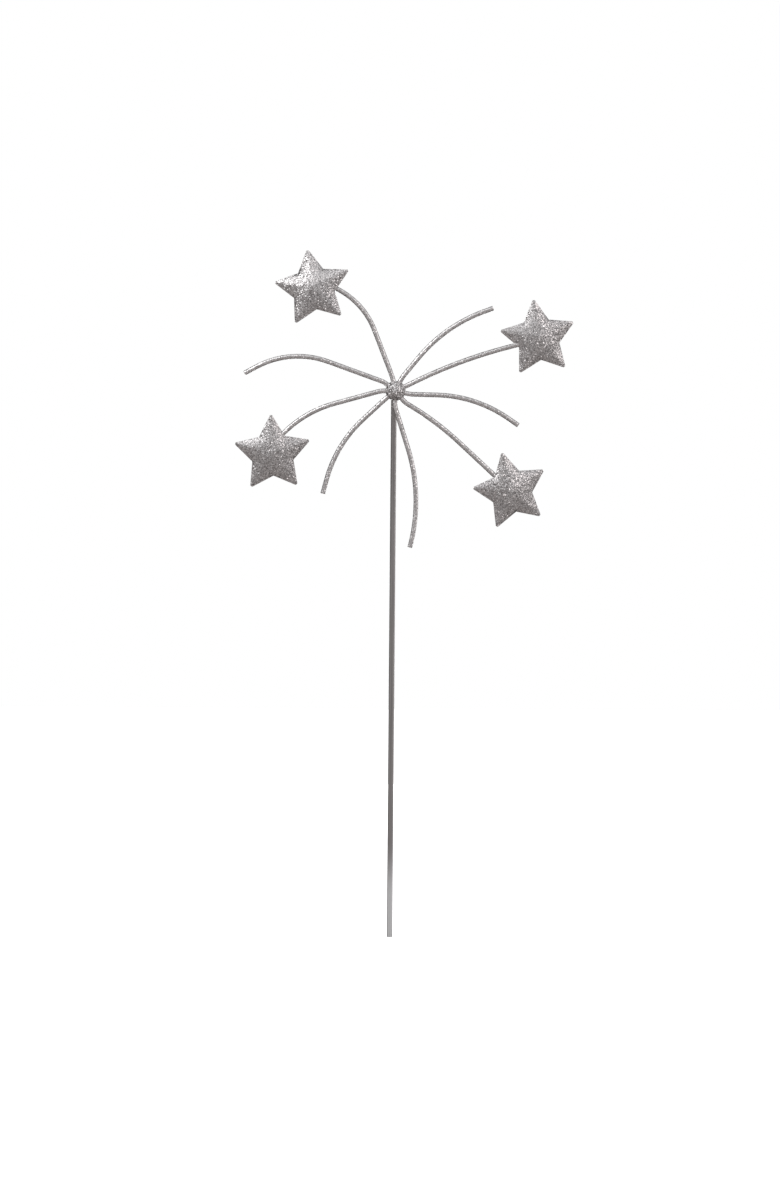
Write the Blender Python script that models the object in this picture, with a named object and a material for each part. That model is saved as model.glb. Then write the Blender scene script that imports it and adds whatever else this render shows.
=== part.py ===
"""Spinning star burst on a garden stake.

A thin stake carries a burst of nine curved wires that turns about a level axle.
Four wires end in puffed stars and five end free.
World frame: the origin is the middle of the stake's bottom end, Z is up, the front faces -Y.
"""

import math

import bmesh
import bpy
from mathutils import Matrix, Vector

# Stake: one rod, bent forward at the top to make the axle.
STAKE_RADIUS = 0.0025
STAKE_CHAMFER = 0.0006
STAKE_BEND_RADIUS = 0.006
HUB_HEIGHT = 0.4845
HUB_FORWARD = 0.016
AXLE_TIP = 0.0067

# Fit between neighbouring pieces.
GAP = 0.0003
RUNNING_GAP = 0.0001

# Ball: two half shells joined at the plane of the wires.
BALL_RADIUS = 0.00875
BALL_WALL = 0.00115

# Collar, bush, washers and push nut along the axle, measured forward from the hub centre.
COLLAR_RADIUS = 0.0063
COLLAR_HALF_LENGTH = 0.0034
BUSH_RADIUS = 0.0035
BUSH_REAR = -0.0089
BUSH_FLANGE_RADIUS = 0.0046
BUSH_FLANGE_THICKNESS = 0.0006
WASHER_RADIUS = 0.0040
WASHER_THICKNESS = 0.0006
PUSH_NUT_RADIUS = 0.0038
PUSH_NUT_THICKNESS = 0.0008
AXLE_STACK_GAP = 0.0002

# Wires: bare where they are welded to the collar, coated from just outside the ball.
BARE_RADIUS = 0.0018
COATED_RADIUS = 0.0021
WIRE_INNER_END = 0.0066
COAT_START = 0.0090
ROOT_BEND_START = 0.0093
ROOT_BEND_LENGTH = 0.0074
WIRE_IN_STAR = 0.012

# Stars: two pressed half shells around the end of a wire.
STAR_TIP_RADIUS = 0.0342
STAR_NOTCH_RADIUS = 0.0192
STAR_SHARP_RADIUS = 0.0360
STAR_ROUND_RADIUS = 0.0240
STAR_DEPTH = 0.0068
STAR_WALL = 0.0008
STAR_EDGE_INSET = 0.0010
STAR_FULLNESS = 1.5
STAR_ROUNDNESS = 0.85
STAR_POINTS = 5
STAR_SEAM = 0.0003

WIRE_SIDES = 10
ROD_SIDES = 20
ROUND_SEGMENTS = 36

# name: angle where it leaves the ball (degrees from the viewer's right), bend just outside the
# ball, straight run, arc radius, arc sweep (degrees, left positive), tail
WIRES = {
    "star_wire_upper_right": (25.2, 1.5, 0.0025, 0.445, -12.5, 0.002),
    "plain_wire_upper_right": (64.2, -13.5, 0.0195, 0.138, -29.5, 0.0095),
    "star_wire_upper_left": (103.6, 8.0, 0.04, 0.0675, 42.5, 0.001),
    "plain_wire_left": (143.8, 17.0, 0.0485, 0.078, 48.0, 0.012),
    "star_wire_lower_left": (181.0, 15.0, 0.039, 0.102, 30.0, 0.0015),
    "plain_wire_lower_left": (219.3, 4.0, 0.022, 0.113, 32.0, 0.0125),
    "plain_wire_bottom": (266.8, 21.0, 0.036, 0.156, -32.0, 0.0015),
    "star_wire_lower_right": (309.2, 20.5, 0.0025, 0.26, -12.0, 0.04),
    "plain_wire_right": (347.2, 12.0, 0.0205, 0.117, -33.0, 0.011),
}

# wire: which star it carries, star centre beside and above the hub, turn (degrees, left
# positive), and how far the star faces left and up (degrees)
STARS = {
    "star_wire_upper_left": ("upper_left", -0.0735, 0.0896, 9.7, 9.0, 5.0),
    "star_wire_upper_right": ("upper_right", 0.1269, 0.0482, 7.7, -1.0, 0.0),
    "star_wire_lower_left": ("lower_left", -0.1083, -0.0571, 3.2, -2.0, -4.0),
    "star_wire_lower_right": ("lower_right", 0.1036, -0.0872, 14.9, -5.0, -3.0),
}

HUB_CENTRE = Vector((0.0, -HUB_FORWARD, HUB_HEIGHT))


def clear_file():
    for item in list(bpy.data.objects):
        bpy.data.objects.remove(item, do_unlink=True)


def make_material(name, colour, metallic, roughness):
    material = bpy.data.materials.new(name)
    material.use_nodes = True
    shader = material.node_tree.nodes["Principled BSDF"]
    shader.inputs["Base Color"].default_value = (*colour, 1.0)
    shader.inputs["Metallic"].default_value = metallic
    shader.inputs["Roughness"].default_value = roughness
    return material


def glitter(name):
    return make_material(name + "_glitter", (0.62, 0.62, 0.61), 0.9, 0.35)


def grey_paint(name):
    return make_material(name + "_paint", (0.33, 0.33, 0.33), 0.6, 0.40)


def bare_steel(name):
    return make_material(name + "_steel", (0.55, 0.55, 0.55), 1.0, 0.35)


def white_plastic(name):
    return make_material(name + "_plastic", (0.80, 0.80, 0.78), 0.0, 0.45)


def mesh_object(name, vertices, faces, location, material):
    mesh = bpy.data.meshes.new(name)
    mesh.from_pydata(vertices, [], faces)
    shape = bmesh.new()
    shape.from_mesh(mesh)
    bmesh.ops.recalc_face_normals(shape, faces=shape.faces)
    shape.to_mesh(mesh)
    shape.free()
    item = bpy.data.objects.new(name, mesh)
    item.location = location
    if material:
        mesh.materials.append(material)
    bpy.context.scene.collection.objects.link(item)
    return item


def ring_faces(first, second, count):
    faces = []
    for i in range(count):
        j = (i + 1) % count
        faces.append((first + i, first + j, second + j, second + i))
    return faces


def swept_rod(name, path, radii, plane_normal, sides, location, material):
    """Round rod along a path that lies in one plane, with square-cut ends."""
    vertices = []
    faces = []
    last = len(path) - 1
    for i, point in enumerate(path):
        tangent = (path[min(i + 1, last)] - path[max(i - 1, 0)]).normalized()
        side = tangent.cross(plane_normal)
        for k in range(sides):
            angle = 2.0 * math.pi * k / sides
            offset = math.cos(angle) * side + math.sin(angle) * plane_normal
            vertices.append(point + radii[i] * offset)
    for i in range(last):
        faces.extend(ring_faces(i * sides, (i + 1) * sides, sides))
    faces.append(tuple(range(sides)))
    faces.append(tuple(last * sides + k for k in range(sides)))
    return mesh_object(name, vertices, faces, location, material)


def turned(name, profile, material, segments=ROUND_SEGMENTS):
    """Revolve a closed (forward, radius) profile about the axle."""
    vertices = []
    rows = []
    for forward, radius in profile:
        rows.append(len(vertices))
        if radius == 0.0:
            vertices.append(Vector((0.0, -forward, 0.0)))
            continue
        for k in range(segments):
            angle = 2.0 * math.pi * k / segments
            vertices.append(Vector((radius * math.cos(angle), -forward, radius * math.sin(angle))))
    faces = []
    for i, (_, radius) in enumerate(profile):
        j = (i + 1) % len(profile)
        if radius == 0.0 and profile[j][1] == 0.0:
            continue
        for k in range(segments):
            step = (k + 1) % segments
            if radius == 0.0:
                faces.append((rows[i], rows[j] + k, rows[j] + step))
            elif profile[j][1] == 0.0:
                faces.append((rows[i] + k, rows[i] + step, rows[j]))
            else:
                faces.append((rows[i] + k, rows[i] + step, rows[j] + step, rows[j] + k))
    return mesh_object(name, vertices, faces, HUB_CENTRE, material)


def turned_ring(name, rear, front, outer, inner, material):
    profile = [(rear, inner), (rear, outer), (front, outer), (front, inner)]
    return turned(name, profile, material)


def heading(degrees):
    angle = math.radians(degrees)
    return Vector((math.cos(angle), 0.0, math.sin(angle)))


def extend(path, direction, length, turn, steps):
    """Add a run of the given length that turns evenly; return the new direction."""
    for i in range(steps):
        middle = direction + turn * (i + 0.5) / steps
        path.append(path[-1] + heading(middle) * (length / steps))
    return direction + turn


def wire_path(wire):
    """Centreline of one wire in the plane of the burst, measured from the hub centre."""
    direction, root_bend, straight, arc_radius, sweep, tail = WIRES[wire]
    path = [heading(direction) * reach for reach in (WIRE_INNER_END, COAT_START, ROOT_BEND_START)]
    direction = extend(path, direction, ROOT_BEND_LENGTH, root_bend, 3)
    extend(path, direction, straight, 0.0, 1)
    arc_length = arc_radius * math.radians(abs(sweep))
    direction = extend(path, direction, arc_length, sweep, 9)
    if wire in STARS:
        tail += WIRE_IN_STAR
    extend(path, direction, tail, 0.0, 1)
    return path


def wire_radii(path, clearance):
    coated = [COATED_RADIUS + clearance] * (len(path) - 2)
    return [BARE_RADIUS + clearance] * 2 + coated


def make_wire(wire, path):
    across = Vector((0.0, 1.0, 0.0))
    swept_rod(wire, path, wire_radii(path, 0.0), across, WIRE_SIDES, HUB_CENTRE, glitter(wire))


def cut_away_wire(item, path):
    """Open a hole around a wire, with the usual gap."""
    across = Vector((0.0, 1.0, 0.0))
    longer = [path[0] * 0.9] + path[1:]
    radii = wire_radii(path, GAP)
    cutter = swept_rod("cutter", longer, radii, across, 2 * WIRE_SIDES, HUB_CENTRE, None)
    subtract = item.modifiers.new("wire_hole", "BOOLEAN")
    subtract.operation = "DIFFERENCE"
    subtract.solver = "EXACT"
    subtract.object = cutter
    bpy.context.view_layer.update()
    evaluated = item.evaluated_get(bpy.context.evaluated_depsgraph_get())
    opened = bpy.data.meshes.new_from_object(evaluated)
    item.modifiers.clear()
    item.data = opened
    bpy.data.objects.remove(cutter, do_unlink=True)


def make_stake():
    rise = HUB_HEIGHT - STAKE_BEND_RADIUS
    path = [Vector((0.0, 0.0, 0.0)), Vector((0.0, 0.0, STAKE_CHAMFER)), Vector((0.0, 0.0, rise))]
    radii = [STAKE_RADIUS - STAKE_CHAMFER, STAKE_RADIUS, STAKE_RADIUS]
    steps = 8
    for i in range(1, steps + 1):
        angle = 0.5 * math.pi * i / steps
        forward = STAKE_BEND_RADIUS * (1.0 - math.cos(angle))
        path.append(Vector((0.0, -forward, rise + STAKE_BEND_RADIUS * math.sin(angle))))
        radii.append(STAKE_RADIUS)
    path.append(Vector((0.0, -HUB_FORWARD - AXLE_TIP, HUB_HEIGHT)))
    radii.append(STAKE_RADIUS)
    across = Vector((1.0, 0.0, 0.0))
    name = "stake_rod"
    return swept_rod(name, path, radii, across, ROD_SIDES, Vector(), grey_paint(name))


def make_ball_shell(name, side, pole_hole):
    """Half of the ball; side is 1 for the front half and -1 for the rear half."""
    steps = 6
    inner_radius = BALL_RADIUS - BALL_WALL
    seam = 0.5 * GAP
    profile = []
    for radius, order in ((BALL_RADIUS, 1), (inner_radius, -1)):
        start = math.asin(seam / radius)
        end = math.acos(pole_hole / radius)
        row = []
        for i in range(steps + 1):
            angle = start + (end - start) * i / steps
            across = radius * math.cos(angle)
            if pole_hole == 0.0 and i == steps:
                across = 0.0
            row.append((side * radius * math.sin(angle), across))
        profile.extend(row[::order])
    return turned(name, profile, glitter(name))


def make_hub():
    axle_bore = STAKE_RADIUS + RUNNING_GAP
    collar_bore = BUSH_RADIUS + RUNNING_GAP
    turned_ring("hub_collar", -COLLAR_HALF_LENGTH, COLLAR_HALF_LENGTH, COLLAR_RADIUS,
                collar_bore, bare_steel("hub_collar"))

    flange_rear = COLLAR_HALF_LENGTH + AXLE_STACK_GAP
    flange_front = flange_rear + BUSH_FLANGE_THICKNESS
    bush_profile = [
        (BUSH_REAR, axle_bore),
        (BUSH_REAR, BUSH_RADIUS),
        (flange_rear, BUSH_RADIUS),
        (flange_rear, BUSH_FLANGE_RADIUS),
        (flange_front, BUSH_FLANGE_RADIUS),
        (flange_front, axle_bore),
    ]
    turned("axle_bush", bush_profile, white_plastic("axle_bush"))

    front_washer = flange_front + AXLE_STACK_GAP
    turned_ring("front_washer", front_washer, front_washer + WASHER_THICKNESS, WASHER_RADIUS,
                axle_bore, bare_steel("front_washer"))
    push_nut = front_washer + WASHER_THICKNESS + AXLE_STACK_GAP
    turned_ring("push_nut", push_nut, push_nut + PUSH_NUT_THICKNESS, PUSH_NUT_RADIUS,
                axle_bore, bare_steel("push_nut"))
    rear_washer = BUSH_REAR - AXLE_STACK_GAP - WASHER_THICKNESS
    turned_ring("rear_washer", rear_washer, rear_washer + WASHER_THICKNESS, WASHER_RADIUS,
                axle_bore, bare_steel("rear_washer"))


def star_outline():
    """Outline of a star with its first point straight up: angles (degrees) and radii."""
    half_step = 180.0 / STAR_POINTS
    notch = heading(half_step) * STAR_NOTCH_RADIUS
    edge = notch - heading(0.0) * STAR_SHARP_RADIUS
    outline = []
    for point in range(STAR_POINTS):
        for offset in (-14.0, -3.5, 0.0, 3.5, 14.0, half_step):
            away = heading(abs(offset))
            reach = STAR_SHARP_RADIUS * edge.z / (edge.z * away.x - edge.x * away.z)
            outline.append((90.0 + 2.0 * half_step * point + offset, min(reach, STAR_TIP_RADIUS)))
    return outline


def star_rise(share):
    """Height of the puffed face as a share of its depth, from the middle (0) to the edge (1)."""
    return (1.0 - share ** STAR_FULLNESS) ** STAR_ROUNDNESS


def star_level(reach, share):
    """Radius of a level line: round in the middle, and the outline itself at the edge."""
    return share * (STAR_ROUND_RADIUS + share ** 2 * (reach - STAR_ROUND_RADIUS))


def make_star_shell(name, side, centre, turn, lean):
    """Half of a puffed star; side is 1 for the front half and -1 for the back half."""
    outline = star_outline()
    count = len(outline)
    seam = 0.5 * STAR_SEAM
    edge_scale = 1.0 - STAR_EDGE_INSET / STAR_NOTCH_RADIUS
    vertices = []
    faces = []
    rows = []
    for scale, depth in ((1.0, STAR_DEPTH), (edge_scale, STAR_DEPTH - STAR_WALL)):
        top = len(vertices)
        vertices.append(centre + lean @ Vector((0.0, -side * (seam + depth), 0.0)))
        previous = None
        for share in (0.4, 0.7, 0.9, 1.0):
            row = len(vertices)
            height = side * (seam + depth * star_rise(share))
            for angle, reach in outline:
                spot = heading(angle + turn) * (scale * star_level(reach, share))
                vertices.append(centre + lean @ (spot + Vector((0.0, -height, 0.0))))
            if previous is None:
                for k in range(count):
                    faces.append((top, row + k, row + (k + 1) % count))
            else:
                faces.extend(ring_faces(previous, row, count))
            previous = row
        rows.append(previous)
    faces.extend(ring_faces(rows[0], rows[1], count))
    return mesh_object(name, vertices, faces, HUB_CENTRE, glitter(name))


def make_burst():
    front = make_ball_shell("ball_front_shell", 1, 0.0)
    rear = make_ball_shell("ball_rear_shell", -1, BUSH_RADIUS + GAP)
    for wire in WIRES:
        path = wire_path(wire)
        make_wire(wire, path)
        root = path[:4]
        cut_away_wire(front, root)
        cut_away_wire(rear, root)
        if wire in STARS:
            place, across, up, turn, face_left, face_up = STARS[wire]
            centre = Vector((across, 0.0, up))
            lean = Matrix.Rotation(math.radians(-face_left), 3, "Z")
            lean = lean @ Matrix.Rotation(math.radians(-face_up), 3, "X")
            for side, label in ((1, "front"), (-1, "back")):
                shell = make_star_shell(f"star_{place}_{label}", side, centre, turn, lean)
                cut_away_wire(shell, path[-5:])


clear_file()
make_stake()
make_hub()
make_burst()
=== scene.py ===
"""Looks for the spinning star burst: glitter, satin paint and a white studio."""

import math

import bpy
import numpy as np
from mathutils import Matrix, Vector
from mathutils.geometry import delaunay_2d_cdt


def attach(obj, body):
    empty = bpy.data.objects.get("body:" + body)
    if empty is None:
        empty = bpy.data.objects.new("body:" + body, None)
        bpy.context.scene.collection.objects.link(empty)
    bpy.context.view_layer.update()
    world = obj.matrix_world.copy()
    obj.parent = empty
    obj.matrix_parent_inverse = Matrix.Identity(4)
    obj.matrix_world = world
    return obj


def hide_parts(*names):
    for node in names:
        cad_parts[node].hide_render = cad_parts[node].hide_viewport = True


# Sizes of the object, in metres, as in part.py.
STAKE_RADIUS = 0.0025
STAKE_CHAMFER = 0.0006
STAKE_BEND_RADIUS = 0.006
HUB_HEIGHT = 0.4845
HUB_FORWARD = 0.016
AXLE_TIP = 0.0067
BALL_RADIUS = 0.00875
BUSH_RADIUS = 0.0035
BUSH_GAP = 0.0003
COATED_RADIUS = 0.0021
WIRE_INNER_END = 0.0066
ROOT_BEND_START = 0.0093
ROOT_BEND_LENGTH = 0.0074
WIRE_IN_STAR = 0.012
STAR_POINTS = 5
STAR_TIP_RADIUS = 0.0342
STAR_NOTCH_RADIUS = 0.0192
STAR_SHARP_RADIUS = 0.0360
STAR_ROUND_RADIUS = 0.0240
STAR_DEPTH = 0.0068
STAR_SEAM = 0.00003
STAR_FULLNESS = 1.5
STAR_ROUNDNESS = 0.85

# Glitter facets: their size and how far grains stand out, for each kind of piece.
STAR_FACET = 0.00070
STAR_GRAIN = 0.00006
WIRE_FACET = 0.00062
WIRE_GRAIN = 0.00003
WIRE_SIDES = 20
WIRE_END_CROWN = 0.0002
BALL_FACET = 0.00085
BALL_GRAIN = 0.00022

# The higher this is, the fewer flakes are near the steepest slant.
STEEP_RARITY = 4.5

# How far a facet's corner strays from its even place, as a share of the facet.
STAR_STRAY = 0.22
WIRE_STRAY_ROUND = 0.3
WIRE_STRAY_ALONG = 0.25
BALL_STRAY = 0.25

# Steps in the star's outline and relief, and in the smooth rod.
OUTLINE_SAMPLES = 4001
SHARE_ROUNDS = 40
RELAX_ROUNDS = 4
RIM_MARGIN = 0.8
MERGE_DISTANCE = 1e-7
ROD_SIDES = 48
CHAMFER_STEPS = 6
ROD_STEPS = 120
BEND_STEPS = 24

# Flakes: size, slants (usual and steepest), darkest and lightest colour, glossiest and dullest
# roughness.
WIRE_FLAKES = (0.0008, (0.30, 1.0), (0.55, 0.535, 0.535), (1.0, 0.98, 0.98), (0.24, 0.42))
STAR_FLAKES = (0.0007, (0.38, 1.8), (0.29, 0.278, 0.278), (0.92, 0.90, 0.90), (0.2, 0.42))
BALL_FLAKES = (0.0010, (0.8, 1.4), (0.30, 0.29, 0.29), (1.0, 0.98, 0.98), (0.15, 0.4))

# Satin paint: drawn lines along the rod, between two greys, and lighter towards the foot, which is a
# painted reflection of the bright floor below.
PAINT_LINES = (900.0, 900.0, 12.0)
PAINT_LINE_DETAIL = 4.0
PAINT_DARK = (0.3, (0.32, 0.308, 0.305, 1.0))
PAINT_LIGHT = (0.7, (0.47, 0.452, 0.448, 1.0))
# Painted reflection: a light colour mixed into the paint low on the rod, standing in for the bright
# floor it reflects.
FOOT_REFLECTION_COLOUR = (0.95, 0.97, 0.98, 1.0)
FOOT_REFLECTION_TOP = 0.085
FOOT_REFLECTION_FULL = 0.035
PAINT_METAL = 0.75
PAINT_ROUGHNESS = (0.28, 0.42)

STEEL_COLOUR = (0.6, 0.6, 0.58, 1.0)
STEEL_GRAIN_SCALE = 2500.0
STEEL_ROUGHNESS = (0.2, 0.45)
NYLON_COLOUR = (0.8, 0.8, 0.77, 1.0)
NYLON_GRAIN_SCALE = 1800.0
NYLON_BUMP_STRENGTH = 0.15
NYLON_BUMP_DEPTH = 0.0001
NYLON_ROUGHNESS = 0.45
STEEL_NODES = ("hub_collar", "front_washer", "rear_washer", "push_nut")

# Camera and framing.
LENS = 100.0
SENSOR = 36.0
FRAME_HEIGHT = 1.0574
CAMERA_FROM_LEFT = math.radians(5.0)
CAMERA_ROLL = math.radians(0.47)
AIM_LEFT_OF_HUB = 0.0049
AIM_BELOW_HUB = 0.1832

# Studio as seen in reflections, from -1 to 1 along one axis: (component, colour)
REFLECTED_HEIGHTS = (
    (-1.0, (0.39, 0.36, 0.35)),
    (-0.3, (0.38, 0.36, 0.355)),
    (0.3, (0.56, 0.55, 0.55)),
    (0.8, (0.74, 0.74, 0.75)),
)
REFLECTED_DEPTHS = (
    (-1.0, (0.80, 0.80, 0.80)),
    (-0.3, (1.0, 1.0, 1.0)),
    (0.0, (1.0, 1.0, 1.0)),
    (0.3, (0.16, 0.16, 0.16)),
    (0.92, (0.16, 0.16, 0.16)),
    (1.0, (0.90, 0.90, 0.90)),
)

HUB = np.array([0.0, -HUB_FORWARD, HUB_HEIGHT])
STAKE_MIDDLE = (0.0, 0.0, 0.25)

# name: place, what it is aimed at, side of its square, power in watts, colour
LIGHTS = {
    "key_left": ((-0.38, -0.36, 1.02), HUB, 0.42, 1.45, (1.0, 1.0, 1.0)),
    "key_right": ((1.4, -0.9, 1.2), HUB, 0.9, 4.0, (1.0, 0.93, 0.92)),
    "side_right": ((1.6, 0.5, 0.35), STAKE_MIDDLE, 0.6, 2.5, (1.0, 0.96, 0.95)),
    "back": ((0.2, 2.4, 0.5), HUB, 1.0, 16.0, (1.0, 1.0, 1.0)),
}
FLOOR_REACH = 6.0
FLOOR_COLOUR = (0.8, 0.8, 0.8, 1.0)
FLOOR_ROUGHNESS = 0.9
WHITE = (1.0, 1.0, 1.0, 1.0)

# name: angle where it leaves the ball (degrees from the viewer's right), bend just outside the
# ball, straight run, arc radius, arc sweep (degrees, left positive), tail
WIRES = {
    "star_wire_upper_right": (25.2, 1.5, 0.0025, 0.445, -12.5, 0.002),
    "plain_wire_upper_right": (64.2, -13.5, 0.0195, 0.138, -29.5, 0.0095),
    "star_wire_upper_left": (103.6, 8.0, 0.04, 0.0675, 42.5, 0.001),
    "plain_wire_left": (143.8, 17.0, 0.0485, 0.078, 48.0, 0.012),
    "star_wire_lower_left": (181.0, 15.0, 0.039, 0.102, 30.0, 0.0015),
    "plain_wire_lower_left": (219.3, 4.0, 0.022, 0.113, 32.0, 0.0125),
    "plain_wire_bottom": (266.8, 21.0, 0.036, 0.156, -32.0, 0.0015),
    "star_wire_lower_right": (309.2, 20.5, 0.0025, 0.26, -12.0, 0.04),
    "plain_wire_right": (347.2, 12.0, 0.0205, 0.117, -33.0, 0.011),
}

# name: star centre beside and above the hub, turn, and how far it faces left and up (degrees)
STARS = {
    "upper_left": (-0.0735, 0.0896, 9.7, 9.0, 5.0),
    "upper_right": (0.1269, 0.0482, 7.7, -1.0, 0.0),
    "lower_left": (-0.1083, -0.0571, 3.2, -2.0, -4.0),
    "lower_right": (0.1036, -0.0872, 14.9, -5.0, -3.0),
}

rng = np.random.default_rng(7)


def heading(degrees):
    """Unit step in the burst's upright plane, degrees from the viewer's right."""
    angle = math.radians(degrees)
    return np.array([math.cos(angle), 0.0, math.sin(angle)])


def stray(share, count=None):
    """Random shift of up to the given share either way."""
    return share * rng.uniform(-1.0, 1.0, count)


# ---------------------------------------------------------------- pieces

def make_piece(name, vertices, faces, material, body, stands_for, smooth=False):
    """Link a mesh, and say which body it rides and which CAD node it replaces."""
    mesh = bpy.data.meshes.new(name)
    mesh.from_pydata([tuple(v) for v in vertices], [], [tuple(f) for f in faces])
    mesh.polygons.foreach_set("use_smooth", [smooth] * len(mesh.polygons))
    mesh.materials.append(material)
    piece = bpy.data.objects.new(name, mesh)
    bpy.context.scene.collection.objects.link(piece)
    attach(piece, body)
    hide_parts(stands_for)
    return piece


# ---------------------------------------------------------------- wires

def extend(path, direction, length, turn):
    """Add a run that turns evenly through some degrees; returns its last direction."""
    steps = max(1, round(length / WIRE_FACET))
    for i in range(steps):
        middle = direction + turn * (i + 0.5) / steps
        path.append(path[-1] + heading(middle) * (length / steps))
    return direction + turn


def wire_path(wire):
    """Middle line of a wire: out of the ball, a bend, a straight, an arc and a tail."""
    direction, root_bend, straight, arc_radius, sweep, tail = WIRES[wire]
    path = [heading(direction) * WIRE_INNER_END]
    extend(path, direction, ROOT_BEND_START - WIRE_INNER_END, 0.0)
    direction = extend(path, direction, ROOT_BEND_LENGTH, root_bend)
    extend(path, direction, straight, 0.0)
    arc_length = arc_radius * math.radians(abs(sweep))
    direction = extend(path, direction, arc_length, sweep)
    if wire.startswith("star"):
        tail += WIRE_IN_STAR
    extend(path, direction, tail, 0.0)
    return np.array(path)


def tube_corners(path, tangents):
    """Corners of a wire's skin, with each ring turned half a step from the last."""
    across = np.array([0.0, 1.0, 0.0])
    corners = []
    for i, point in enumerate(path):
        side = np.cross(tangents[i], across)
        for k in range(WIRE_SIDES):
            step = k + 0.5 * (i % 2) + stray(WIRE_STRAY_ROUND)
            angle = 2.0 * math.pi * step / WIRE_SIDES
            reach = COATED_RADIUS + stray(WIRE_GRAIN)
            slide = WIRE_FACET * stray(WIRE_STRAY_ALONG)
            if i in (0, len(path) - 1):
                slide = 0.0
            spot = reach * (math.cos(angle) * side + math.sin(angle) * across)
            corners.append(point + spot + slide * tangents[i])
    return corners


def tube_triangles(rings):
    """Triangles between the rings of a tube whose rings are turned by half a step."""
    faces = []
    for i in range(rings - 1):
        lower = i * WIRE_SIDES
        upper = lower + WIRE_SIDES
        for k in range(WIRE_SIDES):
            j = (k + 1) % WIRE_SIDES
            if i % 2 == 0:
                faces.append((lower + k, lower + j, upper + k))
                faces.append((lower + j, upper + j, upper + k))
            else:
                faces.append((lower + k, upper + j, upper + k))
                faces.append((lower + k, lower + j, upper + j))
    return faces


def glitter_tube(path):
    """Rough tube of small triangles along a path, closed by low cones."""
    tangents = np.gradient(path, axis=0)
    tangents /= np.linalg.norm(tangents, axis=1)[:, None]
    vertices = tube_corners(path, tangents)
    faces = tube_triangles(len(path))
    for ring, order in ((0, -1), (len(path) - 1, 1)):
        middle = len(vertices)
        vertices.append(path[ring] + order * WIRE_END_CROWN * tangents[ring])
        for k in range(WIRE_SIDES):
            a = ring * WIRE_SIDES + k
            b = ring * WIRE_SIDES + (k + 1) % WIRE_SIDES
            faces.append((a, b, middle)[::order])
    return np.array(vertices), faces


def make_wires():
    """Coat each of the nine wires."""
    for wire in WIRES:
        vertices, faces = glitter_tube(wire_path(wire))
        material = glitter_material(wire + "_glitter", WIRE_FLAKES)
        make_piece(wire + "_coat", vertices + HUB, faces, material, "burst_head", wire,
                   smooth=True)


# ---------------------------------------------------------------- stars

def star_reach(angle):
    """Distance from a star's middle to its outline, angle in radians from a point."""
    step = 2.0 * math.pi / STAR_POINTS
    away = np.abs((angle + step / 2.0) % step - step / 2.0)
    notch = STAR_NOTCH_RADIUS * np.array([math.cos(step / 2.0), math.sin(step / 2.0)])
    run = notch - np.array([STAR_SHARP_RADIUS, 0.0])
    reach = STAR_SHARP_RADIUS * run[1] / (run[1] * np.cos(away) - run[0] * np.sin(away))
    return np.minimum(reach, STAR_TIP_RADIUS)


def spot_reach(spots):
    """Distance from the middle to the outline, in the direction of each spot."""
    return star_reach(np.arctan2(spots[:, 1], spots[:, 0]))


def star_share(distance, reach):
    """How far out a spot is, 0 to 1: level lines are round in the middle and become the outline."""
    share = np.clip(distance / reach, 0.0, 1.0)
    for _ in range(SHARE_ROUNDS):
        share = distance / (STAR_ROUND_RADIUS + share ** 2 * (reach - STAR_ROUND_RADIUS))
    return np.clip(share, 0.0, 1.0)


def star_rim():
    """Even points round the outline."""
    fine = np.linspace(0.0, 2.0 * math.pi, OUTLINE_SAMPLES)
    reach = star_reach(fine)
    outline = np.stack([reach * np.cos(fine), reach * np.sin(fine)], axis=1)
    steps = np.linalg.norm(np.diff(outline, axis=0), axis=1)
    along = np.concatenate([[0.0], np.cumsum(steps)])
    count = round(along[-1] / STAR_FACET / STAR_POINTS) * STAR_POINTS
    marks = np.linspace(0.0, along[-1], count + 1)[:-1]
    xs = np.interp(marks, along, outline[:, 0])
    ys = np.interp(marks, along, outline[:, 1])
    return np.stack([xs, ys], axis=1)


def star_spots():
    """Loose triangular grid of spots inside the outline."""
    row_step = STAR_FACET * math.sqrt(3.0) / 2.0
    rows = int(STAR_TIP_RADIUS / row_step) + 1
    spots = []
    for row in range(-rows, rows + 1):
        for column in range(-rows, rows + 1):
            x = (column + 0.5 * (row % 2)) * STAR_FACET + STAR_FACET * stray(STAR_STRAY)
            y = row * row_step + STAR_FACET * stray(STAR_STRAY)
            spots.append((x, y))
    spots = np.array(spots)
    distance = np.hypot(spots[:, 0], spots[:, 1])
    return spots[distance < spot_reach(spots) - RIM_MARGIN * STAR_FACET]


def star_triangles(rim):
    """Flat star cut into small triangles that all turn the same way; the rim comes first."""
    flat = np.concatenate([rim, star_spots()])
    edges = [(i, (i + 1) % len(rim)) for i in range(len(rim))]
    result = delaunay_2d_cdt([Vector(p) for p in flat], edges, [], 1, MERGE_DISTANCE)
    flat = np.array([tuple(v) for v in result[0]])
    faces = np.array([f for f in result[2] if len(f) == 3])
    middles = flat[faces].mean(axis=1)
    faces = faces[np.hypot(middles[:, 0], middles[:, 1]) < spot_reach(middles)]
    a, b, c = flat[faces[:, 0]], flat[faces[:, 1]], flat[faces[:, 2]]
    area = np.cross(b - a, c - a)
    return flat, np.where((area > 0)[:, None], faces, faces[:, ::-1])


def relax(values, faces, fixed):
    """Average each value with its neighbours, to soften ridges."""
    ends = np.concatenate([faces[:, [0, 1]], faces[:, [1, 2]], faces[:, [2, 0]]])
    for _ in range(RELAX_ROUNDS):
        total = np.zeros_like(values)
        count = np.zeros_like(values)
        np.add.at(total, ends[:, 0], values[ends[:, 1]])
        np.add.at(count, ends[:, 0], 1.0)
        np.add.at(total, ends[:, 1], values[ends[:, 0]])
        np.add.at(count, ends[:, 1], 1.0)
        mean = total / np.maximum(count, 1.0)
        values = np.where(fixed, values, 0.5 * values + 0.5 * mean)
    return values


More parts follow.
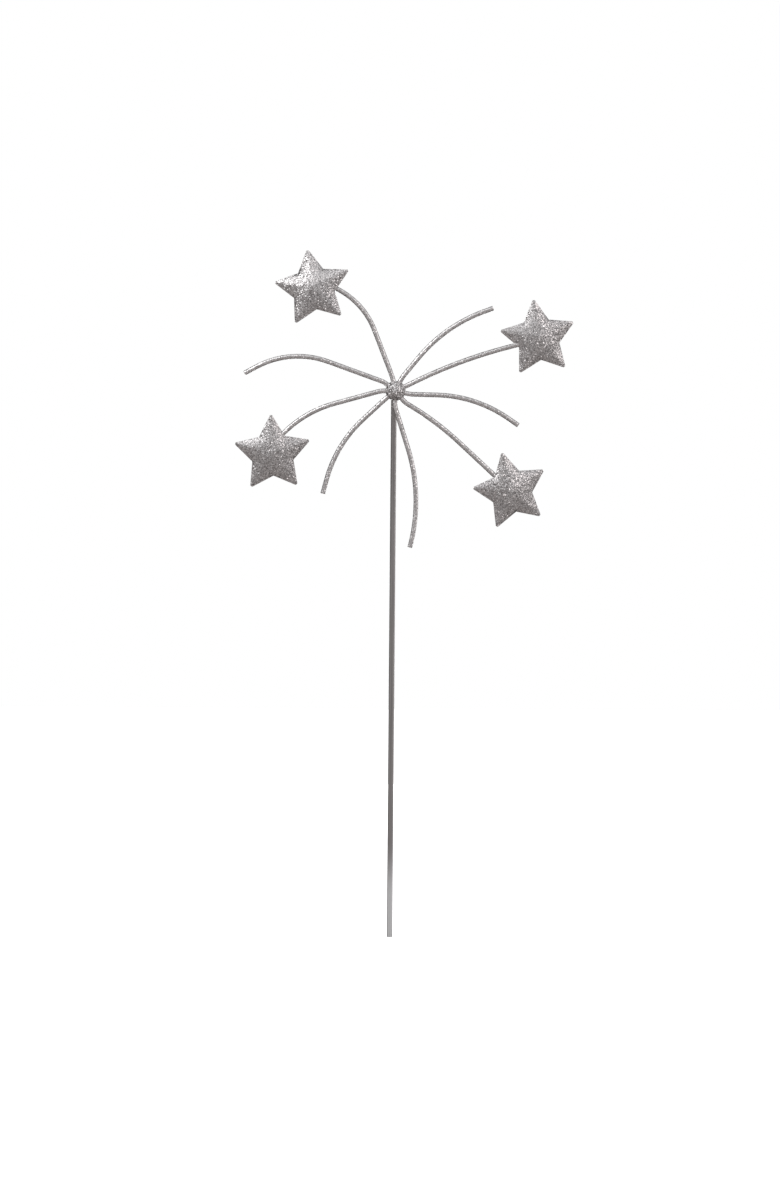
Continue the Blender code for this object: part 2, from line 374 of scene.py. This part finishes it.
def star_rise(flat, faces, on_rim):
    """Height of each spot above the seam, with its grain; zero on the rim."""
    share = star_share(np.hypot(flat[:, 0], flat[:, 1]), spot_reach(flat))
    rise = STAR_DEPTH * (1.0 - share ** STAR_FULLNESS) ** STAR_ROUNDNESS
    rise = relax(np.where(on_rim, 0.0, rise), faces, on_rim)
    return rise + stray(STAR_GRAIN, len(rise)) * ~on_rim


def star_half(side):
    """One puffed half about the origin, points up, facing -Y for side 1; closed by a flat back."""
    rim = star_rim()
    flat, faces = star_triangles(rim)
    on_rim = np.arange(len(flat)) < len(rim)
    rise = star_rise(flat, faces, on_rim)
    vertices = np.stack([flat[:, 0], -side * (STAR_SEAM + rise), flat[:, 1]], axis=1)
    if side < 0:
        faces = faces[:, ::-1]
    back = list(range(len(rim)))
    if side > 0:
        back.reverse()
    return vertices, [tuple(f) for f in faces.tolist()] + [tuple(back)]


def turn_about_y(vertices, degrees):
    """Turn left as the viewer sees it, about the line of sight."""
    cosine = math.cos(math.radians(degrees))
    sine = math.sin(math.radians(degrees))
    turned = vertices.copy()
    turned[:, 0] = cosine * vertices[:, 0] - sine * vertices[:, 2]
    turned[:, 2] = sine * vertices[:, 0] + cosine * vertices[:, 2]
    return turned


def face_towards(vertices, left, up):
    """Lean a star that faces the viewer so that it faces left and up by these angles."""
    sideways = Matrix.Rotation(math.radians(-left), 3, "Z")
    upwards = Matrix.Rotation(math.radians(-up), 3, "X")
    return vertices @ np.array(sideways @ upwards).T


def make_stars():
    """Coat both halves of each star."""
    for place, (across, up, turn, left_lean, up_lean) in STARS.items():
        material = glitter_material(place + "_star_glitter", STAR_FLAKES)
        for side, label in ((1, "front"), (-1, "back")):
            vertices, faces = star_half(side)
            vertices = face_towards(turn_about_y(vertices, 90.0 + turn), left_lean, up_lean)
            vertices = vertices + HUB + np.array([across, 0.0, up])
            node = f"star_{place}_{label}"
            make_piece(node + "_coat", vertices, faces, material, "burst_head", node)


# ---------------------------------------------------------------- ball

def ball_rings(side, pole_hole):
    """Rings of grains from the seam towards the pole, as corners and rows of their numbers."""
    count_up = round(0.5 * math.pi * BALL_RADIUS / BALL_FACET)
    vertices = []
    rows = []
    for i in range(count_up + 1):
        tilt = 0.5 * math.pi * i / count_up
        ring_radius = BALL_RADIUS * math.cos(tilt)
        if ring_radius < max(pole_hole, 0.5 * BALL_FACET):
            break
        count = max(5, round(2.0 * math.pi * ring_radius / BALL_FACET))
        row = []
        for k in range(count):
            angle = 2.0 * math.pi * (k + 0.5 * (i % 2) + stray(BALL_STRAY)) / count
            lift = tilt + stray(BALL_STRAY) * BALL_FACET / BALL_RADIUS * (i > 0)
            reach = BALL_RADIUS + stray(BALL_GRAIN)
            row.append(len(vertices))
            vertices.append((reach * math.cos(lift) * math.cos(angle),
                             -side * reach * math.sin(lift),
                             reach * math.cos(lift) * math.sin(angle)))
        rows.append(row)
    return vertices, rows


def join_rings(first, second):
    """Triangles between two rings with different numbers of corners."""
    faces = []
    i = 0
    j = 0
    while i < len(first) or j < len(second):
        a = first[i % len(first)]
        b = second[j % len(second)]
        first_is_behind = i < len(first) and (i + 1) / len(first) <= (j + 1) / len(second)
        if j >= len(second) or first_is_behind:
            faces.append((a, first[(i + 1) % len(first)], b))
            i += 1
        else:
            faces.append((a, second[(j + 1) % len(second)], b))
            j += 1
    return faces


def line_hole(vertices, ring):
    """Wall from the edge of the bush's hole straight in to the seam."""
    inner = []
    for k in ring:
        x, _, z = vertices[k]
        inner.append(len(vertices))
        vertices.append((x, 0.0, z))
    faces = []
    for k in range(len(ring)):
        j = (k + 1) % len(ring)
        faces.append((ring[k], ring[j], inner[j]))
        faces.append((ring[k], inner[j], inner[k]))
    return faces


def cap_pole(vertices, ring, side):
    """Fan that closes the ball at its pole."""
    top = len(vertices)
    vertices.append((0.0, -side * BALL_RADIUS, 0.0))
    return [(ring[k], ring[(k + 1) % len(ring)], top) for k in range(len(ring))]


def ball_half(side, pole_hole):
    """Half of the ball in coarse grains; closed at its pole, or open round the bush."""
    vertices, rows = ball_rings(side, pole_hole)
    faces = []
    for first, second in zip(rows[:-1], rows[1:]):
        faces += join_rings(first, second)
    if pole_hole > 0.0:
        faces += line_hole(vertices, rows[-1])
    else:
        faces += cap_pole(vertices, rows[-1], side)
    if side < 0:
        faces = [f[::-1] for f in faces]
    return np.array(vertices), faces


def make_ball():
    """Coat both halves of the ball."""
    material = glitter_material("ball_glitter", BALL_FLAKES)
    halves = ((1, 0.0, "ball_front_shell"), (-1, BUSH_RADIUS + BUSH_GAP, "ball_rear_shell"))
    for side, hole, node in halves:
        vertices, faces = ball_half(side, hole)
        make_piece(node + "_coat", vertices + HUB, faces, material, "burst_head", node)


# ---------------------------------------------------------------- stake

def stake_path():
    """Middle points and radii from the chamfered foot, up and round the bend to the axle's tip."""
    rise = HUB_HEIGHT - STAKE_BEND_RADIUS
    rows = [((0.0, 0.0, 0.0), STAKE_RADIUS - STAKE_CHAMFER)]
    for i in range(1, CHAMFER_STEPS + 1):
        angle = 0.5 * math.pi * i / CHAMFER_STEPS
        inset = STAKE_CHAMFER * (1.0 - math.sin(angle))
        height = STAKE_CHAMFER * (1.0 - math.cos(angle))
        rows.append(((0.0, 0.0, height), STAKE_RADIUS - inset))
    for i in range(1, ROD_STEPS + 1):
        height = STAKE_CHAMFER + (rise - STAKE_CHAMFER) * i / ROD_STEPS
        rows.append(((0.0, 0.0, height), STAKE_RADIUS))
    for i in range(1, BEND_STEPS + 1):
        angle = 0.5 * math.pi * i / BEND_STEPS
        forward = STAKE_BEND_RADIUS * (1.0 - math.cos(angle))
        rows.append(((0.0, -forward, rise + STAKE_BEND_RADIUS * math.sin(angle)), STAKE_RADIUS))
    rows.append(((0.0, -HUB_FORWARD - AXLE_TIP, HUB_HEIGHT), STAKE_RADIUS))
    return rows


def smooth_rod(rows):
    """Round rod through the given middle points and radii, with flat ends."""
    path = np.array([point for point, _ in rows])
    radii = np.array([radius for _, radius in rows])
    tangents = np.gradient(path, axis=0)
    tangents[0] = (0.0, 0.0, 1.0)
    tangents /= np.linalg.norm(tangents, axis=1)[:, None]
    across = np.array([1.0, 0.0, 0.0])
    vertices = []
    for i, point in enumerate(path):
        side = np.cross(tangents[i], across)
        for k in range(ROD_SIDES):
            angle = 2.0 * math.pi * k / ROD_SIDES
            spot = math.cos(angle) * across + math.sin(angle) * side
            vertices.append(point + radii[i] * spot)
    faces = []
    for i in range(len(path) - 1):
        lower = i * ROD_SIDES
        upper = lower + ROD_SIDES
        for k in range(ROD_SIDES):
            j = (k + 1) % ROD_SIDES
            faces.append((lower + k, lower + j, upper + j, upper + k))
    faces.append(tuple(reversed(range(ROD_SIDES))))
    last = (len(path) - 1) * ROD_SIDES
    faces.append(tuple(last + k for k in range(ROD_SIDES)))
    return np.array(vertices), faces


def make_stake():
    """Paint the stake, up to the tip of its axle."""
    vertices, faces = smooth_rod(stake_path())
    make_piece("stake_rod_painted", vertices, faces, satin_paint_and_foot_reflection("stake_paint"), "stake",
               "stake_rod", smooth=True)


# ---------------------------------------------------------------- materials

def new_material(name):
    """Material with one Principled shader, and its node tree."""
    material = bpy.data.materials.new(name)
    material.use_nodes = True
    tree = material.node_tree
    return material, tree, tree.nodes["Principled BSDF"]


def add_node(tree, kind, **settings):
    """Add a node and set its options."""
    node = tree.nodes.new(kind)
    for key, value in settings.items():
        setattr(node, key, value)
    return node


def add_grain(tree, scale):
    """Fine noise in the object's own space."""
    place = add_node(tree, "ShaderNodeTexCoord")
    grain = add_node(tree, "ShaderNodeTexNoise")
    grain.inputs["Scale"].default_value = scale
    tree.links.new(place.outputs["Object"], grain.inputs["Vector"])
    return grain.outputs["Fac"]


def vary_roughness(tree, source, shader, roughness):
    """Spread the roughness between two values by a source that runs from 0 to 1."""
    gloss = add_node(tree, "ShaderNodeMapRange")
    gloss.inputs["To Min"].default_value = roughness[0]
    gloss.inputs["To Max"].default_value = roughness[1]
    tree.links.new(source, gloss.inputs["Value"])
    tree.links.new(gloss.outputs["Result"], shader.inputs["Roughness"])


def flake_slant(tree, cells, slants):
    """How far each flake leans: mostly near the usual slant, and a few near the steepest."""
    link = tree.links.new
    chance = add_node(tree, "ShaderNodeTexWhiteNoise")
    link(cells.outputs["Position"], chance.inputs["Vector"])
    rare = add_node(tree, "ShaderNodeMath", operation="POWER")
    rare.inputs[1].default_value = STEEP_RARITY
    link(chance.outputs["Value"], rare.inputs[0])
    slant = add_node(tree, "ShaderNodeMapRange")
    slant.inputs["To Min"].default_value = slants[0]
    slant.inputs["To Max"].default_value = slants[1]
    link(rare.outputs[0], slant.inputs["Value"])
    return slant.outputs["Result"]


def lean_flakes(tree, cells, slants, shader):
    """Lean the normal of each flake by its own random amount."""
    link = tree.links.new
    centred = add_node(tree, "ShaderNodeVectorMath", operation="SUBTRACT")
    centred.inputs[1].default_value = (0.5, 0.5, 0.5)
    link(cells.outputs["Color"], centred.inputs[0])
    slant = add_node(tree, "ShaderNodeVectorMath", operation="SCALE")
    link(flake_slant(tree, cells, slants), slant.inputs["Scale"])
    link(centred.outputs[0], slant.inputs[0])
    surface = add_node(tree, "ShaderNodeNewGeometry")
    leaned = add_node(tree, "ShaderNodeVectorMath", operation="ADD")
    link(surface.outputs["Normal"], leaned.inputs[0])
    link(slant.outputs[0], leaned.inputs[1])
    unit = add_node(tree, "ShaderNodeVectorMath", operation="NORMALIZE")
    link(leaned.outputs[0], unit.inputs[0])
    link(unit.outputs[0], shader.inputs["Normal"])


def glitter_material(name, flakes):
    """Metal flakes, each with its own slant, shade and gloss."""
    size, slants, darkest, lightest, roughness = flakes
    material, tree, shader = new_material(name)
    link = tree.links.new
    place = add_node(tree, "ShaderNodeTexCoord")
    cells = add_node(tree, "ShaderNodeTexVoronoi", feature="F1")
    cells.inputs["Scale"].default_value = 1.0 / size
    link(place.outputs["Object"], cells.inputs["Vector"])
    lean_flakes(tree, cells, slants, shader)

    parts = add_node(tree, "ShaderNodeSeparateColor")
    link(cells.outputs["Color"], parts.inputs[0])
    shade = add_node(tree, "ShaderNodeValToRGB")
    shade.color_ramp.elements[0].color = (*darkest, 1.0)
    shade.color_ramp.elements[1].color = (*lightest, 1.0)
    link(parts.outputs[0], shade.inputs["Fac"])
    link(shade.outputs["Color"], shader.inputs["Base Color"])
    vary_roughness(tree, parts.outputs[1], shader, roughness)
    shader.inputs["Metallic"].default_value = 1.0
    return material


def paint_lines(tree, place):
    """Faint lines drawn along the rod, from 0 to 1."""
    stretch = add_node(tree, "ShaderNodeMapping")
    stretch.inputs["Scale"].default_value = PAINT_LINES
    tree.links.new(place.outputs["Object"], stretch.inputs["Vector"])
    lines = add_node(tree, "ShaderNodeTexNoise")
    lines.inputs["Scale"].default_value = 1.0
    lines.inputs["Detail"].default_value = PAINT_LINE_DETAIL
    tree.links.new(stretch.outputs[0], lines.inputs["Vector"])
    return lines.outputs["Fac"]


def foot_reflection_share(tree, place):
    """How much of the painted floor reflection shows at each height, from 0 to 1."""
    split = add_node(tree, "ShaderNodeSeparateXYZ")
    tree.links.new(place.outputs["Object"], split.inputs[0])
    foot = add_node(tree, "ShaderNodeMapRange", interpolation_type="SMOOTHSTEP")
    foot.inputs["From Min"].default_value = FOOT_REFLECTION_TOP
    foot.inputs["From Max"].default_value = FOOT_REFLECTION_FULL
    tree.links.new(split.outputs["Z"], foot.inputs["Value"])
    return foot.outputs["Result"]


def satin_paint_and_foot_reflection(name):
    """Silver-grey paint with faint drawn lines along the rod, and a painted reflection of the floor
    that makes it lighter towards the foot.
    """
    material, tree, shader = new_material(name)
    link = tree.links.new
    place = add_node(tree, "ShaderNodeTexCoord")
    lines = paint_lines(tree, place)
    shade = add_node(tree, "ShaderNodeValToRGB")
    for element, (position, colour) in zip(shade.color_ramp.elements, (PAINT_DARK, PAINT_LIGHT)):
        element.position = position
        element.color = colour
    link(lines, shade.inputs["Fac"])
    # Painted reflection of the floor: the rod's colour turns lighter towards the foot.
    foot_reflection_mix = add_node(tree, "ShaderNodeMix", data_type="RGBA")
    foot_reflection_mix.inputs["B"].default_value = FOOT_REFLECTION_COLOUR
    link(foot_reflection_share(tree, place), foot_reflection_mix.inputs["Factor"])
    link(shade.outputs["Color"], foot_reflection_mix.inputs["A"])
    link(foot_reflection_mix.outputs["Result"], shader.inputs["Base Color"])
    shader.inputs["Metallic"].default_value = PAINT_METAL
    vary_roughness(tree, lines, shader, PAINT_ROUGHNESS)
    return material


def plated_steel(name):
    """Bright plating with a fine grain in its gloss."""
    material, tree, shader = new_material(name)
    vary_roughness(tree, add_grain(tree, STEEL_GRAIN_SCALE), shader, STEEL_ROUGHNESS)
    shader.inputs["Base Color"].default_value = STEEL_COLOUR
    shader.inputs["Metallic"].default_value = 1.0
    return material


def moulded_nylon(name):
    """Off-white plastic with a faint moulded grain."""
    material, tree, shader = new_material(name)
    bump = add_node(tree, "ShaderNodeBump")
    bump.inputs["Strength"].default_value = NYLON_BUMP_STRENGTH
    bump.inputs["Distance"].default_value = NYLON_BUMP_DEPTH
    tree.links.new(add_grain(tree, NYLON_GRAIN_SCALE), bump.inputs["Height"])
    tree.links.new(bump.outputs["Normal"], shader.inputs["Normal"])
    shader.inputs["Base Color"].default_value = NYLON_COLOUR
    shader.inputs["Roughness"].default_value = NYLON_ROUGHNESS
    return material


def dress_cad_node(node, material):
    """Give a node that keeps its CAD shape its one material."""
    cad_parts[node].data.materials.clear()
    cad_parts[node].data.materials.append(material)


def dress_axle_pieces():
    """Materials for the pieces on the axle, which keep their CAD shape."""
    for node in STEEL_NODES:
        dress_cad_node(node, plated_steel(node + "_plating"))
    dress_cad_node("axle_bush", moulded_nylon("bush_nylon"))


# ---------------------------------------------------------------- studio

def reflected_ramp(tree, source, stops):
    """Colour against one component of the direction, from -1 to 1, through the given stops."""
    spread = add_node(tree, "ShaderNodeMapRange")
    spread.inputs["From Min"].default_value = -1.0
    tree.links.new(source, spread.inputs["Value"])
    ramp = add_node(tree, "ShaderNodeValToRGB")
    elements = ramp.color_ramp.elements
    for _ in stops[2:]:
        elements.new(0.5)
    for element, (component, colour) in zip(elements, stops):
        element.position = 0.5 + 0.5 * component
        element.color = (*colour, 1.0)
    tree.links.new(spread.outputs["Result"], ramp.inputs["Fac"])
    return ramp.outputs["Color"]


def reflected_studio(tree):
    """Background for reflections: brightest above and in front, dim behind but for straight behind."""
    link = tree.links.new
    place = add_node(tree, "ShaderNodeTexCoord")
    split = add_node(tree, "ShaderNodeSeparateXYZ")
    link(place.outputs["Generated"], split.inputs[0])
    both = add_node(tree, "ShaderNodeMix", data_type="RGBA", blend_type="MULTIPLY")
    both.inputs["Factor"].default_value = 1.0
    link(reflected_ramp(tree, split.outputs["Z"], REFLECTED_HEIGHTS), both.inputs["A"])
    link(reflected_ramp(tree, split.outputs["Y"], REFLECTED_DEPTHS), both.inputs["B"])
    around = add_node(tree, "ShaderNodeBackground")
    link(both.outputs["Result"], around.inputs["Color"])
    return around.outputs[0]


def make_world():
    """White where it is seen directly, and a shaded studio where it is reflected."""
    world = bpy.data.worlds.new("studio")
    bpy.context.scene.world = world
    world.use_nodes = True
    tree = world.node_tree
    tree.nodes.clear()
    link = tree.links.new
    seen = add_node(tree, "ShaderNodeBackground")
    seen.inputs["Color"].default_value = WHITE
    ray = add_node(tree, "ShaderNodeLightPath")
    pick = add_node(tree, "ShaderNodeMixShader")
    link(ray.outputs["Is Camera Ray"], pick.inputs["Fac"])
    link(reflected_studio(tree), pick.inputs[1])
    link(seen.outputs[0], pick.inputs[2])
    out = add_node(tree, "ShaderNodeOutputWorld")
    link(pick.outputs[0], out.inputs["Surface"])


def make_floor():
    """White floor that the glitter doesn't reflect."""
    r = FLOOR_REACH
    mesh = bpy.data.meshes.new("floor")
    mesh.from_pydata([(-r, -r, 0), (r, -r, 0), (r, r, 0), (-r, r, 0)], [], [(0, 1, 2, 3)])
    floor = bpy.data.objects.new("floor", mesh)
    bpy.context.scene.collection.objects.link(floor)
    material, _, shader = new_material("white_floor")
    shader.inputs["Base Color"].default_value = FLOOR_COLOUR
    shader.inputs["Roughness"].default_value = FLOOR_ROUGHNESS
    shader.inputs["Emission Color"].default_value = WHITE
    shader.inputs["Emission Strength"].default_value = 1.0
    mesh.materials.append(material)
    floor.visible_glossy = False
    floor.visible_diffuse = False


def make_lights():
    """Square area lights, unseen by the camera."""
    for name, (place, aim, size, power, colour) in LIGHTS.items():
        data = bpy.data.lights.new(name, "AREA")
        data.shape = "SQUARE"
        data.size = size
        data.energy = power
        data.color = colour
        light = bpy.data.objects.new(name, data)
        light.location = place
        towards = Vector(aim) - Vector(place)
        light.rotation_euler = towards.to_track_quat("-Z", "Y").to_euler()
        light.visible_camera = False
        bpy.context.scene.collection.objects.link(light)


def make_camera():
    """Level camera a little to the left of the front, rolled by a fraction of a degree."""
    across = Vector((math.cos(CAMERA_FROM_LEFT), -math.sin(CAMERA_FROM_LEFT), 0.0))
    level = Vector((0.0, 0.0, 1.0))
    right = across * math.cos(CAMERA_ROLL) + level * math.sin(CAMERA_ROLL)
    up = level * math.cos(CAMERA_ROLL) - across * math.sin(CAMERA_ROLL)
    back = right.cross(up)
    aim = Vector(HUB) - right * AIM_LEFT_OF_HUB - up * AIM_BELOW_HUB
    data = bpy.data.cameras.new("camera")
    data.lens = LENS
    data.sensor_width = SENSOR
    camera = bpy.data.objects.new("camera", data)
    place = aim + back * (FRAME_HEIGHT * LENS / SENSOR)
    camera.matrix_world = Matrix((
        (right.x, up.x, back.x, place.x),
        (right.y, up.y, back.y, place.y),
        (right.z, up.z, back.z, place.z),
        (0.0, 0.0, 0.0, 1.0),
    ))
    bpy.context.scene.collection.objects.link(camera)
    bpy.context.scene.camera = camera


# ---------------------------------------------------------------- build

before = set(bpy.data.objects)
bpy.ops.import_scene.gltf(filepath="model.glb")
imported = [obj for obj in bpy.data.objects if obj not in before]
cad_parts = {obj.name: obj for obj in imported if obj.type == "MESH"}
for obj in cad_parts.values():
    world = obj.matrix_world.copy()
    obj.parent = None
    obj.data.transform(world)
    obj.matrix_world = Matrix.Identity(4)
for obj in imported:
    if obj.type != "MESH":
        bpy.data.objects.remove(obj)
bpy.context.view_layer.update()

make_wires()
make_stars()
make_ball()
make_stake()
dress_axle_pieces()

make_world()
make_floor()
make_lights()
make_camera()
bpy.context.scene.view_settings.view_transform = "Standard"
